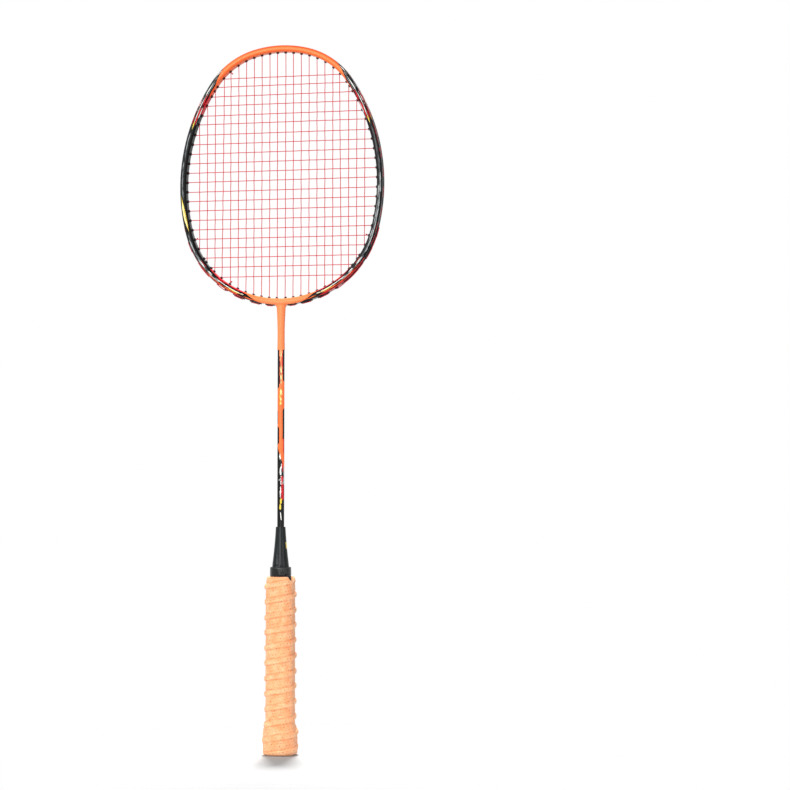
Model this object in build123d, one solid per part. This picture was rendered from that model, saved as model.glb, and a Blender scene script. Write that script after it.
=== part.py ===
from build123d import *
import os
from math import atan2, cos, degrees, hypot, radians, sin, tan

# Badminton racket standing on its butt, in millimetres. +Z runs up the shaft, X across the head
# and Y through the string bed. The origin is the centre of the butt's end face.

# --- Overall ---
overall_length = 675.0

# --- Head outline ---
# The outer edge of the frame is a chain of tangent arcs from the top centre down each side.
# The throat arc closes it, so its radius is worked out.
top_radius, top_sweep = 105.0, 15.1
shoulder_radius, shoulder_sweep = 73.7, 40.8
side_radius, side_sweep = 178.8, 49.1
lower_radius, lower_sweep = 89.8, 39.7

# --- Head frame tube ---
frame_width = 6.0  # in the plane of the strings
frame_depth = 10.6  # through the string bed
frame_wall = 1.0
outer_edge_radius = 1.8
inner_edge_radius = 2.6
cavity_edge_radius = 0.9
groove_width = 3.4
groove_depth = 1.4

# --- Throat and neck, moulded with the frame ---
neck_length = 43.0
neck_root_radius = 4.5
neck_waist_radius = 3.85
neck_waist_drop = 11.0
neck_tip_radius = 3.6
neck_sink = 2.2
throat_fillet = 3.6

# --- T-joint, hidden in the throat ---
stem_length = 30.0
arm_sweep = 15.0
glue_gap = 0.05

# --- Shaft ---
shaft_radius = 3.3
shaft_bore_radius = 2.4
shaft_foot = 92.0  # height of the shaft's lower end inside the handle

# --- Strings ---
string_radius = 0.35
main_count = 22
main_pitch = 7.75
cross_count = 22
first_cross_drop = 28.3  # from the top of the head
last_cross_rise = 28.1353  # above the outer edge at the throat
layer_offset = 0.4  # mains lie this far behind the middle plane and crosses this far in front
string_bend = 0.5
string_gap = 0.1
knot_radius = 0.75
knot_reach = 1.7
knot_lift = 0.47

# --- Grommets ---
barrel_radius = 1.3
passage_radius = 0.8
hole_radius = barrel_radius + glue_gap
barrel_reach = 1.2  # past the inside of the frame
shared_hole_gap = 3.7  # string ends nearer than this share a hole
throat_splay = 30.0  # keeps the middle holes clear of the neck
splay_fade = 13.0
web_width = 3.0
web_thickness = 0.6
web_overhang = 2.0
saddle_rise = 0.5  # above the outer edge, on the lower strips
throat_saddle = 0.9  # the throat has no groove, so its grommets stand on the tube
saddle_overhang = 1.5
web_seat = 0.03  # clear of the groove's floor
top_strip_end, shoulder_strip_end, side_strip_end = 43.0, 74.5, 102.3  # headings where the strips meet

# --- Handle ---
handle_width = 23.6
handle_depth = 21.6
handle_corner = 6.4
handle_top = 168.0
handle_taper_length = 16.0
handle_taper = 2.4  # each side, over the taper
spigot_radius = 6.4
spigot_length = 15.0
end_bore_radius = 5.5
end_bore_depth = 62.0

# --- Butt cap ---
butt_floor = 2.6
butt_wall = 2.2
butt_height = 21.0
butt_slope_height = 6.0
butt_fit = 0.05
butt_edge = 1.4
butt_recess_radius = 8.0
butt_recess_depth = 0.4

# --- Staples through the butt cap ---
staple_crown = 9.0
staple_wire = 0.7
staple_leg = 7.0
staple_height = 12.0

# --- Cone cap ---
cone_length = 47.0
cone_base_radius = 9.5
cone_top_radius = 4.6
cone_flat = 8.9
cone_flat_taper = 4.2
cone_wall = 1.4
cone_collar = 9.0
cone_fit = 0.05

# --- Finishing tape ---
tape_height = 9.0
tape_thickness = 0.7
tape_edge = 0.25

# --- Grip wrap ---
wrap_thickness = 2.4
wrap_start = 1.0  # above the end face
wrap_round = 3.0
wrap_corner = 4.0


# ---------- head outline ----------
def outline_arcs():
    """Right half of the outer edge, as (centre x, centre z, radius, start, end) with headings in degrees."""
    sizes = [
        (top_radius, top_sweep),
        (shoulder_radius, shoulder_sweep),
        (side_radius, side_sweep),
        (lower_radius, lower_sweep),
    ]
    x, z, heading = 0.0, overall_length, 0.0
    arcs = []
    for radius, sweep_angle in sizes:
        cx, cz = x - radius * sin(radians(heading)), z - radius * cos(radians(heading))
        arcs.append((cx, cz, radius, heading, heading + sweep_angle))
        heading += sweep_angle
        x, z = cx + radius * sin(radians(heading)), cz + radius * cos(radians(heading))
    throat_radius = x / sin(radians(heading))
    cz = z - throat_radius * cos(radians(heading))
    arcs.append((0.0, cz, throat_radius, heading, 180.0))
    return arcs


ARCS = outline_arcs()
throat_centre = ARCS[-1][1]
throat_start = ARCS[-1][3]
head_bottom = throat_centre - ARCS[-1][2]


def outline_point(heading, inset=0.0):
    """(x, z) of the outer edge at a heading, moved towards the inside of the head by inset."""
    side = -1 if heading < 0 else 1
    for cx, cz, radius, start, end in ARCS:
        if abs(heading) <= end or end == 180.0:
            turn = radians(abs(heading))
            reach = radius - inset
            return side * (cx + reach * sin(turn)), cz + reach * cos(turn)


def place_on_outline(x, z):
    """(heading, inset) of a point near the frame."""
    side = -1 if x < 0 else 1
    for cx, cz, radius, start, end in ARCS:
        heading = degrees(atan2(abs(x) - cx, z - cz))
        if start <= heading <= end or (end == 180.0 and heading > start):
            return side * heading, radius - hypot(abs(x) - cx, z - cz)
    return side * 0.0, overall_length - z


def bisect(rises, low, high):
    """The value between low and high where rises(value) turns from negative to positive."""
    for step in range(50):
        middle = (low + high) / 2
        if rises(middle) < 0:
            low = middle
        else:
            high = middle
    return (low + high) / 2


# ---------- string bed layout ----------
tip_inset = frame_width + barrel_reach
MAIN_X = [(i - (main_count - 1) / 2) * main_pitch for i in range(main_count)]
cross_pitch = (overall_length - first_cross_drop - head_bottom - last_cross_rise) / (cross_count - 1)
CROSS_Z = [overall_length - first_cross_drop - j * cross_pitch for j in range(cross_count)]


def right_side_ends():
    """The string ends on the right half as (heading, pull heading, kind, index), from the top down."""
    ends = []
    for i in range(main_count // 2, main_count):
        x = MAIN_X[i]
        top = bisect(lambda h: outline_point(h, tip_inset)[0] - x, 0.0, 90.0)
        low = bisect(lambda h: x - outline_point(h, tip_inset)[0], 90.0, 180.0)
        ends.append((top, 0.0, "main_top", i))
        ends.append((low, 180.0, "main_low", i))
    for j in range(cross_count):
        z = CROSS_Z[j]
        ends.append((bisect(lambda h: z - outline_point(h, tip_inset)[1], 0.0, 180.0), 90.0, "cross", j))
    return sorted(ends)


def arc_gap(a, b):
    ax, az = outline_point(a, tip_inset)
    bx, bz = outline_point(b, tip_inset)
    return hypot(ax - bx, az - bz)


def barrel_heading(heading, pull, neck_order):
    """Which way a barrel points: square to the frame, or splayed clear of the neck."""
    splay = throat_splay - splay_fade * neck_order
    if pull == 180.0 and splay > 180.0 - heading:
        return 180.0 - splay
    return heading


def strip_of(heading):
    """The grommet strip that holds a hole; the groove and the lower strip end where the throat starts."""
    ends = {"top": top_strip_end, "shoulder": shoulder_strip_end, "side": side_strip_end, "lower": throat_start}
    for strip, end in ends.items():
        if heading < end:
            return strip
    return "throat"


def right_side_holes():
    """Each grommet hole on the right half: its tip, its direction and the string ends in it."""
    holes = []
    for end in right_side_ends():
        last = holes[-1] if holes else None
        kinds = {last["ends"][0][0], end[2]} if last and len(last["ends"]) == 1 else set()
        mixed = "cross" in kinds and len(kinds) == 2
        if mixed and arc_gap(last["heading"], end[0]) < shared_hole_gap:
            last["heading"] = (last["heading"] + end[0]) / 2
            last["pull"] = (last["pull"] + end[1]) / 2
            last["ends"].append((end[2], end[3]))
        else:
            holes.append({"heading": end[0], "pull": end[1], "ends": [(end[2], end[3])]})
    for n, hole in enumerate(holes):
        hole["order"] = n
        hole["strip"] = strip_of(hole["heading"])
        order = hole["ends"][0][1] - main_count // 2 if hole["ends"][0][0] == "main_low" else main_count
        hole["points"] = barrel_heading(hole["heading"], hole["pull"], order)
        hole["tip"] = outline_point(hole["heading"], tip_inset)
    return holes


def hole_at_inset(hole, inset):
    """Where a hole's axis crosses the frame at a given inset, as (x, z)."""
    x, z = hole["tip"]
    dx, dz = sin(radians(hole["points"])), cos(radians(hole["points"]))
    reach = bisect(lambda t: inset - place_on_outline(x + t * dx, z + t * dz)[1], 0.0, 30.0)
    return x + reach * dx, z + reach * dz


HOLES = right_side_holes()


def mirrored(point):
    return -point[0], point[1]


# ---------- frame ----------
def tube_section(grooved):
    """The frame's outer section: X points out of the head, and 0 is the outer edge."""
    section = Pos(-frame_width / 2, 0) * Rectangle(frame_width, frame_depth)
    corners = section.vertices().sort_by(Axis.X)
    section = fillet(corners[:2], inner_edge_radius)
    corners = [v for v in section.vertices() if abs(v.X) < 1e-6]
    section = fillet(corners, outer_edge_radius)
    if grooved:
        section -= Pos(-groove_depth / 2, 0) * Rectangle(groove_depth, groove_width)
    return section


def cavity_section(gap=0.0):
    """The hollow inside the tube, or what fills it with a gap all round."""
    thickness = frame_width - groove_depth - 2 * frame_wall
    middle = -groove_depth - frame_wall - thickness / 2
    hollow = RectangleRounded(
        thickness - 2 * gap, frame_depth - 2 * frame_wall - 2 * gap, cavity_edge_radius - gap
    )
    return Pos(middle, 0) * hollow


def along_arc(section, cx, cz, radius, start, end):
    """Carries a section drawn at the outer edge round one arc of the outline."""
    turn = radians(start)
    plane = Plane(
        origin=(cx + radius * sin(turn), 0, cz + radius * cos(turn)),
        x_dir=(sin(turn), 0, cos(turn)),
        z_dir=(cos(turn), 0, -sin(turn)),
    )
    return revolve(plane * section, axis=Axis((cx, 0, cz), (0, 1, 0)), revolution_arc=end - start)


def around_head(section, throat_section):
    """The section carried round the whole outline, as a list of pieces."""
    top, throat = ARCS[0], ARCS[-1]
    pieces = [
        along_arc(section, 0, top[1], top[2], -top[4], top[4]),
        along_arc(throat_section, 0, throat[1], throat[2], throat[3], 360.0 - throat[3]),
    ]
    for cx, cz, radius, start, end in ARCS[1:-1]:
        pieces.append(along_arc(section, cx, cz, radius, start, end))
        pieces.append(along_arc(section, -cx, cz, radius, 360.0 - end, 360.0 - start))
    return pieces


def rod(start, direction_heading, length, radius, back=0.0):
    """A cylinder in the plane of the strings from a point (x, z), pointing along a heading."""
    dx, dz = sin(radians(direction_heading)), cos(radians(direction_heading))
    base = Plane(
        origin=(start[0] - back * dx, 0, start[1] - back * dz), x_dir=(0, 1, 0), z_dir=(dx, 0, dz)
    )
    return extrude(base * Circle(radius), length + back)


def hole_rods(radius, length, back=0.0):
    """A rod through each grommet hole of both halves."""
    rods = []
    for hole in HOLES:
        rods.append(rod(hole["tip"], hole["points"], length, radius, back))
        rods.append(rod(mirrored(hole["tip"]), -hole["points"], length, radius, back))
    return rods


def neck_blank():
    """The solid neck below the throat."""
    top = head_bottom + neck_sink
    tip = head_bottom - neck_length
    with BuildSketch(Plane.XZ) as outline:
        with BuildLine():
            Line((0, tip), (neck_tip_radius, tip))
            Spline(
                (neck_tip_radius, tip),
                (neck_waist_radius, head_bottom - neck_waist_drop),
                (neck_root_radius, head_bottom),
            )
            Line((neck_root_radius, head_bottom), (neck_root_radius, top))
            Line((neck_root_radius, top), (0, top))
            Line((0, top), (0, tip))
        make_face()
    return revolve(outline.sketch, axis=Axis.Z)


def frame_blank():
    """The frame and neck before they are hollowed and drilled."""
    pieces = around_head(tube_section(True), tube_section(False))
    throat, neck = pieces[1], neck_blank()
    joined = throat + neck
    seams = new_edges(throat, neck, combined=joined)
    joined = fillet(seams, throat_fillet)
    return joined + [p for i, p in enumerate(pieces) if i != 1]


def head_frame(blank):
    hollow = around_head(cavity_section(), cavity_section())
    frame = blank - (hollow[0] + hollow[1:])
    bore_top = Plane.XY.offset(head_bottom - neck_length)
    frame -= extrude(bore_top * Circle(shaft_radius + glue_gap), neck_length)
    frame -= extrude(bore_top * Circle(shaft_bore_radius), neck_length + groove_depth + frame_wall + 0.5)
    frame -= hole_rods(hole_radius, 4 * frame_width)
    return frame


def t_joint():
    throat = ARCS[-1]
    arms = along_arc(
        cavity_section(glue_gap), 0, throat[1], throat[2], 180.0 - arm_sweep, 180.0 + arm_sweep
    )
    stem_base = Plane.XY.offset(head_bottom - stem_length)
    stem_top = groove_depth + frame_wall + (frame_width - groove_depth) / 4
    stem = extrude(stem_base * Circle(shaft_bore_radius - glue_gap), stem_length + stem_top)
    return arms + stem - hole_rods(hole_radius, 4 * frame_width)


def shaft():
    base = Plane.XY.offset(shaft_foot)
    tube = base * Circle(shaft_radius) - base * Circle(shaft_bore_radius)
    return extrude(tube, head_bottom - shaft_foot)


# ---------- strings ----------
def hole_of(kind, index):
    """The hole of the right half that holds a string end."""
    return next(hole for hole in HOLES if (kind, index) in hole["ends"])


def web_inset(hole):
    """How far inside the frame's outer edge the outer face of a hole's grommet lies."""
    if hole["strip"] == "throat":
        return -throat_saddle
    if hole["strip"] == "lower":
        return -saddle_rise
    return groove_depth - web_thickness


def string_points(hole, side, y):
    """The points of a string in a hole, from the outside in."""
    x, z = hole_at_inset(hole, web_inset(hole) - string_radius - string_gap)
    tip_x, tip_z = hole["tip"]
    return [(side * x, y, z), (side * tip_x, y, tip_z)]


def tail_points(hole, side, y):
    """A string's tied end: in through a hole and a little past its tip."""
    outside = string_points(hole, side, y)[0]
    x, z = hole["tip"]
    dx, dz = sin(radians(hole["points"])), cos(radians(hole["points"]))
    return [outside, (side * (x - knot_reach * dx), y, z - knot_reach * dz)]


def round_frame(a, b):
    """The point over the frame's edge midway between two points outside their holes."""
    first, first_inset = place_on_outline(a[0], a[2])
    last, last_inset = place_on_outline(b[0], b[2])
    x, z = outline_point((first + last) / 2, min(first_inset, last_inset))
    return x, a[1], z


def threaded(runs):
    """All the runs of a string as one chain of points, looped round the frame."""
    points = runs[0]
    for run in runs[1:]:
        points = points + [round_frame(points[-1], run[0])] + run
    return points


def main_points():
    """The main string: down one run, round the frame and up the next, left to right."""
    y, half = -layer_offset, main_count // 2
    tie_hole = HOLES[hole_of("main_low", main_count - 1)["order"] - 1]
    runs = [tail_points(tie_hole, -1, y)[::-1]]
    for i in range(main_count):
        side, order = (-1, half - i) if i < half else (1, i - half + 1)
        top, low = hole_of("main_top", half + order - 1), hole_of("main_low", half + order - 1)
        run = string_points(top, side, y) + string_points(low, side, y)[::-1]
        downwards = (order % 2 == 1) == (side > 0)
        runs.append(run if downwards else run[::-1])
    return threaded(runs + [tail_points(tie_hole, 1, y)])


def cross_points():
    """The cross string, from the lowest run to the highest."""
    y, side = layer_offset, -1
    first_tie = HOLES[hole_of("cross", cross_count - 1)["order"] + 1]
    last_tie = HOLES[hole_of("cross", 0)["order"] - 1]
    runs = [tail_points(first_tie, side, y)[::-1]]
    for j in reversed(range(cross_count)):
        hole = hole_of("cross", j)
        runs.append(string_points(hole, side, y) + string_points(hole, -side, y)[::-1])
        side = -side
    return threaded(runs + [tail_points(last_tie, side, y)])


def rounded_path(points):
    """Straight runs joined by tangent arcs."""
    corners = [Vector(*p) for p in points]
    edges, start = [], corners[0]
    for before, corner, after in zip(corners, corners[1:], corners[2:]):
        back, ahead = before - corner, after - corner
        half_turn = radians(180.0 - back.get_angle(ahead)) / 2
        reach = string_bend * tan(half_turn)
        depth = string_bend / cos(half_turn) - string_bend
        first, last = corner + back.normalized() * reach, corner + ahead.normalized() * reach
        middle = corner + (back.normalized() + ahead.normalized()).normalized() * depth
        edges += [Edge.make_line(start, first), Edge.make_three_point_arc(first, middle, last)]
        start = last
    return Wire(edges + [Edge.make_line(start, corners[-1])])


def string(points):
    """One whole string along its points, with a knot at each tied end."""
    path = rounded_path(points)
    strand = sweep(Plane(origin=path @ 0, z_dir=path % 0) * Circle(string_radius), path=path)
    for x, y, z in (points[0], points[-1]):
        lift = knot_lift if y > 0 else -knot_lift
        strand += Pos(x, y + lift, z) * Sphere(knot_radius)
    return strand


# ---------- grommets ----------
def band(start, end, near, far, width):
    """A strip of rectangular section along the right half, between two headings and two insets."""
    section = Pos(-(near + far) / 2, 0) * Rectangle(far - near, width)
    pieces = []
    for cx, cz, radius, first, last in ARCS:
        low, high = max(start, first), min(end, last)
        if high - low > 1e-3:
            pieces.append(along_arc(section, cx, cz, radius, low, high))
    return pieces[0] + pieces[1:]


def heading_outside(hole, shift=0.0):
    """The heading where a hole leaves the frame, moved along the frame by shift."""
    heading, inset = place_on_outline(*hole_at_inset(hole, 0.0))
    radius = next(arc[2] for arc in ARCS if heading <= arc[4])
    return min(180.0, max(0.0, heading + degrees(shift / radius)))


def with_barrels(web, holes, sides=(1,)):
    """A web with a barrel through the frame at each hole, and the passages for the string."""
    for side in sides:
        for hole in holes:
            x, z = hole_at_inset(hole, web_inset(hole) + web_thickness / 2)
            tip_x, tip_z = hole["tip"]
            length = hypot(x - tip_x, z - tip_z)
            web += rod((side * tip_x, tip_z), side * hole["points"], length, barrel_radius)
    for side in sides:
        for hole in holes:
            start = side * hole["tip"][0], hole["tip"][1]
            web -= rod(start, side * hole["points"], 2 * frame_width, passage_radius, barrel_reach)
    return web


def top_strip(holes):
    """The strip over the top of the head, across both halves."""
    end = heading_outside(holes[-1], web_overhang)
    half = band(0.0, end, web_inset(holes[0]), groove_depth - web_seat, web_width)
    return with_barrels(half + mirror(half, about=Plane.YZ), holes, (1, -1))


def grooved_strip(holes):
    """A strip down the side of the head, whose web lies in the frame's groove."""
    start = heading_outside(holes[0], -web_overhang)
    end = min(throat_start, heading_outside(holes[-1], web_overhang))
    web = band(start, end, web_inset(holes[0]), groove_depth - web_seat, web_width)
    return with_barrels(web, holes)


def throat_saddle_over(holes, blank):
    """A saddle that stands on the plain tube beside the neck, with one or two barrels."""
    start = heading_outside(holes[0], -saddle_overhang)
    end = heading_outside(holes[-1], saddle_overhang)
    return with_barrels(band(start, end, -throat_saddle, -web_seat, web_width) - blank, holes)


def grommet_strips(blank):
    """Every grommet strip by name."""
    groups = {}
    for hole in HOLES:
        groups.setdefault(hole["strip"], []).append(hole)
    strips = {"top_grommet_strip": top_strip(groups.pop("top"))}
    throat = groups.pop("throat")
    ends = range(len(throat), 0, -2)
    saddles = [throat_saddle_over(throat[max(0, end - 2):end], blank) for end in ends]
    strips["right_throat_grommets"] = Compound(children=saddles)
    strips["left_throat_grommets"] = Compound(children=[mirror(s, about=Plane.YZ) for s in saddles])
    for name, holes in groups.items():
        strip = grooved_strip(holes)
        strips[f"right_{name}_grommet_strip"] = strip
        strips[f"left_{name}_grommet_strip"] = mirror(strip, about=Plane.YZ)
    return strips


# ---------- handle ----------
def octagon(width, depth, corner):
    """A rectangle with its corners cut off; corner is each cut's width across the flat."""
    x, y, c = width / 2, depth / 2, corner / 2 ** 0.5
    return Polygon(
        (x, y - c), (x - c, y), (c - x, y), (-x, y - c), (-x, c - y), (c - x, -y), (x - c, -y), (x, c - y),
        align=None,
    )


def handle_octagon(grow=0.0):
    """The handle's octagon with every flat moved out by grow."""
    tangent = tan(radians(22.5))
    return octagon(handle_width + 2 * grow, handle_depth + 2 * grow, handle_corner + 2 * grow * tangent)


def at(height):
    return Plane.XY.offset(height)


def cone_radius(height, inset=0.0):
    """The cone cap's round radius at a height above its base."""
    share = height / cone_length
    sag = 0.6 * 4 * share * (1 - share)
    return cone_base_radius + (cone_top_radius - cone_base_radius) * share - sag - inset


def cone_solid(low, high, inset):
    """The cone's round form between two heights above its base, thinned by inset."""
    middle = (low + high) / 2
    with BuildSketch(Plane.XZ) as outline:
        with BuildLine():
            Line((0, handle_top + low), (cone_radius(low, inset), handle_top + low))
            ThreePointArc(
                (cone_radius(low, inset), handle_top + low),
                (cone_radius(middle, inset), handle_top + middle),
                (cone_radius(high, inset), handle_top + high),
            )
            Line((cone_radius(high, inset), handle_top + high), (0, handle_top + high))
            Line((0, handle_top + high), (0, handle_top + low))
        make_face()
    return revolve(outline.sketch, axis=Axis.Z)


def cone_outside():
    """The cone cap before it is hollowed: round at the top, with eight flats fading upwards."""
    flats = extrude(
        at(handle_top) * RegularPolygon(cone_flat, 8, major_radius=False, rotation=22.5),
        cone_length,
        taper=cone_flat_taper,
    )
    return cone_solid(0, cone_length, 0) & flats


def cone_cap():
    hollow = cone_solid(0, cone_length - cone_collar, cone_wall)
    return cone_outside() - hollow - extrude(at(handle_top) * Circle(shaft_radius + cone_fit), cone_length)


def handle_blank():
    """The wooden handle before it is bored."""
    straight = handle_top - handle_taper_length
    blank = extrude(at(butt_floor) * handle_octagon(), straight - butt_floor)
    slope = degrees(atan2(handle_taper, handle_taper_length))
    blank += extrude(at(straight) * handle_octagon(), handle_taper_length, taper=slope)
    return blank


def handle_core(staples):
    spigot = cone_solid(0, spigot_length, cone_wall + cone_fit)
    core = handle_blank() + spigot
    core -= extrude(at(shaft_foot) * Circle(shaft_radius + glue_gap), handle_top + cone_length)
    core -= extrude(at(butt_floor) * Circle(end_bore_radius), end_bore_depth)
    return core - staples


def butt_outside():
    """The butt cap's outer form."""
    straight = butt_height - butt_slope_height
    form = extrude(at(0) * handle_octagon(butt_wall), straight)
    form = chamfer(form.faces().sort_by(Axis.Z)[0].edges(), butt_edge)
    slope = degrees(atan2(butt_wall - 6 * butt_fit, butt_slope_height))
    return form + extrude(at(straight) * handle_octagon(butt_wall), butt_slope_height, taper=slope)


def butt_cap(staples):
    pocket = extrude(at(butt_floor) * handle_octagon(butt_fit), butt_height)
    recess = extrude(at(0) * Circle(butt_recess_radius), butt_recess_depth)
    return butt_outside() - pocket - recess - staples


def butt_staples():
    """Two staples through the butt cap's wide faces into the wood."""
    face = handle_depth / 2 + butt_wall
    crown = Pos(0, face - staple_wire / 2, staple_height) * Box(staple_crown, staple_wire, staple_wire)
    leg_x = (staple_crown - staple_wire) / 2
    staple = crown
    for x in (-leg_x, leg_x):
        staple += Pos(x, face - staple_leg / 2, staple_height) * Box(staple_wire, staple_leg, staple_wire)
    return Compound(children=[staple, mirror(staple, about=Plane.XZ)])


def finishing_tape():
    """The wound tape that covers the joint of cone and grip."""
    radius = cone_base_radius + tape_thickness
    top = at(handle_top + tape_height)
    outside = loft([at(handle_top) * Circle(radius), top * Circle(radius - tape_edge)])
    return outside - cone_outside()


def rounded_octagon(grow):
    shape = handle_octagon(grow)
    return fillet(shape.vertices(), wrap_corner)


def grip_wrap():
    """The wound grip as one sleeve over the wood and the butt cap."""
    thin, wide = wrap_thickness, butt_wall + wrap_thickness
    shoulder = butt_height + wrap_thickness / 2
    flare = extrude(at(wrap_start) * rounded_octagon(wide), shoulder - wrap_start)
    flare = fillet(flare.faces().sort_by(Axis.Z)[0].edges(), wrap_round)
    slope = 3 * butt_wall
    angle = degrees(atan2(wide - thin, slope))
    straight = handle_top - handle_taper_length
    sleeve = flare + extrude(at(shoulder) * rounded_octagon(wide), slope, taper=angle)
    sleeve += extrude(at(shoulder) * rounded_octagon(thin), straight - shoulder)
    slope_top = degrees(atan2(handle_taper, handle_taper_length))
    sleeve += extrude(at(straight) * rounded_octagon(thin), handle_taper_length, taper=slope_top)
    return sleeve - handle_blank() - butt_outside()


def build():
    """Every sub-part by its node name."""
    blank = frame_blank()
    staples = butt_staples()
    parts = {
        "head_frame": head_frame(blank),
        "t_joint": t_joint(),
        "shaft": shaft(),
        "main_string": string(main_points()),
        "cross_string": string(cross_points()),
        "cone_cap": cone_cap(),
        "handle_core": handle_core(staples),
        "butt_cap": butt_cap(staples),
        "butt_staples": staples,
        "finishing_tape": finishing_tape(),
        "grip_wrap": grip_wrap(),
    }
    parts.update(grommet_strips(blank))
    return parts


os.makedirs("parts", exist_ok=True)
for node, shape in build().items():
    export_step(shape, f"parts/{node}.step")
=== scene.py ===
import math

import bmesh
import bpy
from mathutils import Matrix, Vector, noise


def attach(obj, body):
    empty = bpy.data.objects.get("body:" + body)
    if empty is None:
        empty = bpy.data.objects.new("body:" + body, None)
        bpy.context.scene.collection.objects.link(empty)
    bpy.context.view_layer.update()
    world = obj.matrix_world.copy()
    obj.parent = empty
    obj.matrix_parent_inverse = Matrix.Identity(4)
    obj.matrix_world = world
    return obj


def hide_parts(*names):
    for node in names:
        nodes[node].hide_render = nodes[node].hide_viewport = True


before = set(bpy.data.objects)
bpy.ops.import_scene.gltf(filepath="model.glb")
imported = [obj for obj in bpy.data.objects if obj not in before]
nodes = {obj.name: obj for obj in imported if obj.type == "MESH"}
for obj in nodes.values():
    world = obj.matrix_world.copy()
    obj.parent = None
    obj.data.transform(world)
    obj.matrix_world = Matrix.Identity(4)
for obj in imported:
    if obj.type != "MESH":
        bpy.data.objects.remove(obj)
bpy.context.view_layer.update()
mm = 0.001


def rgb(*screen):
    # screen values from 0 to 255, made linear
    linear = [((c / 255 + 0.055) / 1.055) ** 2.4 if c > 10 else c / 3294 for c in screen]
    return (*linear, 1.0)


paint = {
    "orange": rgb(253, 118, 60),
    "deepOrange": rgb(242, 94, 44),
    # darker red-orange for the painted shade along the frame's outer edge
    "rimShadeOrange": rgb(208, 62, 28),
    "paleOrange": rgb(254, 156, 104),
    "red": rgb(206, 24, 38),
    "darkRed": rgb(110, 14, 18),
    "black": rgb(8, 9, 10),
    "graphite": rgb(74, 77, 79),
    "silver": rgb(164, 168, 168),
    "white": rgb(244, 242, 236),
    "yellow": rgb(232, 204, 70),
    "cream": rgb(246, 232, 164),
}


def feed(tree, socket, value):
    if isinstance(value, bpy.types.NodeSocket):
        tree.links.new(value, socket)
    elif value is not None:
        socket.default_value = value


def calc(tree, operation, a, b=None, c=None):
    node = tree.nodes.new("ShaderNodeMath")
    node.operation = operation
    for socket, value in zip(node.inputs, (a, b, c)):
        feed(tree, socket, value)
    return node.outputs[0]


def times(tree, *values):
    result = values[0]
    for value in values[1:]:
        result = calc(tree, "MULTIPLY", result, value)
    return result


def layered(tree, *layers):
    # values added up, each with its weight
    result = times(tree, *layers[0])
    for value, weight in layers[1:]:
        result = calc(tree, "MULTIPLY_ADD", value, weight, result)
    return result


def opposite(tree, mask):
    return calc(tree, "SUBTRACT", 1.0, mask)


def clamped(tree, value, low, high):
    return calc(tree, "MINIMUM", calc(tree, "MAXIMUM", value, low), high)


def reachOf(tree, a, b):
    return calc(tree, "SQRT", calc(tree, "ADD", times(tree, a, a), times(tree, b, b)))


def headingOf(tree, x, y):
    # radians round the upright axis, 0 at the front
    return calc(tree, "ARCTAN2", x, times(tree, y, -1.0))


def mixValue(tree, factor, a, b):
    node = tree.nodes.new("ShaderNodeMix")
    for index, value in ((0, factor), (2, a), (3, b)):
        feed(tree, node.inputs[index], value)
    return node.outputs[0]


def mixColour(tree, factor, a, b):
    node = tree.nodes.new("ShaderNodeMix")
    node.data_type = "RGBA"
    for index, value in ((0, factor), (6, a), (7, b)):
        feed(tree, node.inputs[index], value)
    return node.outputs[2]


def rise(tree, value, start, end):
    # 0 before start, 1 after end, smooth between
    node = tree.nodes.new("ShaderNodeMapRange")
    node.interpolation_type = "SMOOTHSTEP"
    for index, item in ((0, value), (1, start), (2, end)):
        feed(tree, node.inputs[index], item)
    return node.outputs[0]


def band(tree, value, start, end, soft):
    # 1 between start and end
    up = rise(tree, value, start - soft, start + soft)
    down = rise(tree, value, end - soft, end + soft)
    return calc(tree, "SUBTRACT", up, down)


def grainOf(tree, vector, scale, detail=2.0, roughness=0.5, distortion=0.0):
    node = tree.nodes.new("ShaderNodeTexNoise")
    feed(tree, node.inputs["Vector"], vector)
    constants = {"Scale": scale, "Detail": detail, "Roughness": roughness, "Distortion": distortion}
    for name, value in constants.items():
        node.inputs[name].default_value = value
    return node.outputs["Fac"]


def joinXyz(tree, x, y, z):
    node = tree.nodes.new("ShaderNodeCombineXYZ")
    for socket, value in zip(node.inputs, (x, y, z)):
        feed(tree, socket, value)
    return node.outputs[0]


def splitXyz(tree, vector):
    node = tree.nodes.new("ShaderNodeSeparateXYZ")
    tree.links.new(vector, node.inputs[0])
    return node.outputs


def stretched(tree, a, b, scales, c=0.0):
    # a place for grain that is finer one way than the other
    return joinXyz(tree, times(tree, a, scales[0]), times(tree, b, scales[1]), c)


def objectPlace(tree):
    return tree.nodes.new("ShaderNodeTexCoord").outputs["Object"]


def bumpFrom(tree, height, strength, distance, normal=None):
    node = tree.nodes.new("ShaderNodeBump")
    node.inputs["Strength"].default_value = strength
    node.inputs["Distance"].default_value = distance
    tree.links.new(height, node.inputs["Height"])
    if normal:
        tree.links.new(normal, node.inputs["Normal"])
    return node.outputs[0]


def newMaterial(name, **constants):
    material = bpy.data.materials.new(name)
    material.use_nodes = True
    tree = material.node_tree
    shader = tree.nodes["Principled BSDF"]
    for socket, value in constants.items():
        shader.inputs[socket.replace("_", " ")].default_value = value
    return material, tree, shader


def linkShader(tree, shader, colour, roughness, normal):
    for socket, value in (("Base Color", colour), ("Roughness", roughness), ("Normal", normal)):
        tree.links.new(value, shader.inputs[socket])


def newGroup(name, inputs, outputs):
    group = bpy.data.node_groups.new(name, "ShaderNodeTree")
    for labels, way in ((inputs, "INPUT"), (outputs, "OUTPUT")):
        for label in labels:
            kind = "NodeSocketVector" if label == "Position" else "NodeSocketFloat"
            group.interface.new_socket(label, in_out=way, socket_type=kind)
    return group, group.nodes.new("NodeGroupInput"), group.nodes.new("NodeGroupOutput")


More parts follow.
